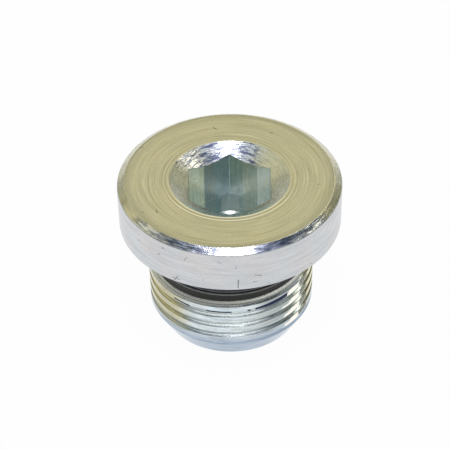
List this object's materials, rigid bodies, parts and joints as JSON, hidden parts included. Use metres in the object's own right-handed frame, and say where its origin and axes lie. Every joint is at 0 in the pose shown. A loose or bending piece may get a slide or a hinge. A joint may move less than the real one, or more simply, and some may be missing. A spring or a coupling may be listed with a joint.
{
  "type": "hex socket plug",
  "caption": "Screw plug with a hexagon socket, a round flange head, a parallel pipe thread and a black seal ring under the head.",
  "frame": {"origin": "centre of the thread end face, on which the plug stands", "axes": "+Z along the turning axis, from the thread end to the head; two corners of the hexagon lie along Y"},
  "size_m": [0.022, 0.022, 0.0169],
  "materials": {
    "zinc_plated_steel": "bright zinc plating, finely turned",
    "seal_rubber": "black moulded elastomer, satin"
  },
  "bodies": {
    "root": {"plug_body": "zinc_plated_steel", "seal_ring": "seal_rubber"}
  },
  "joints": []
}
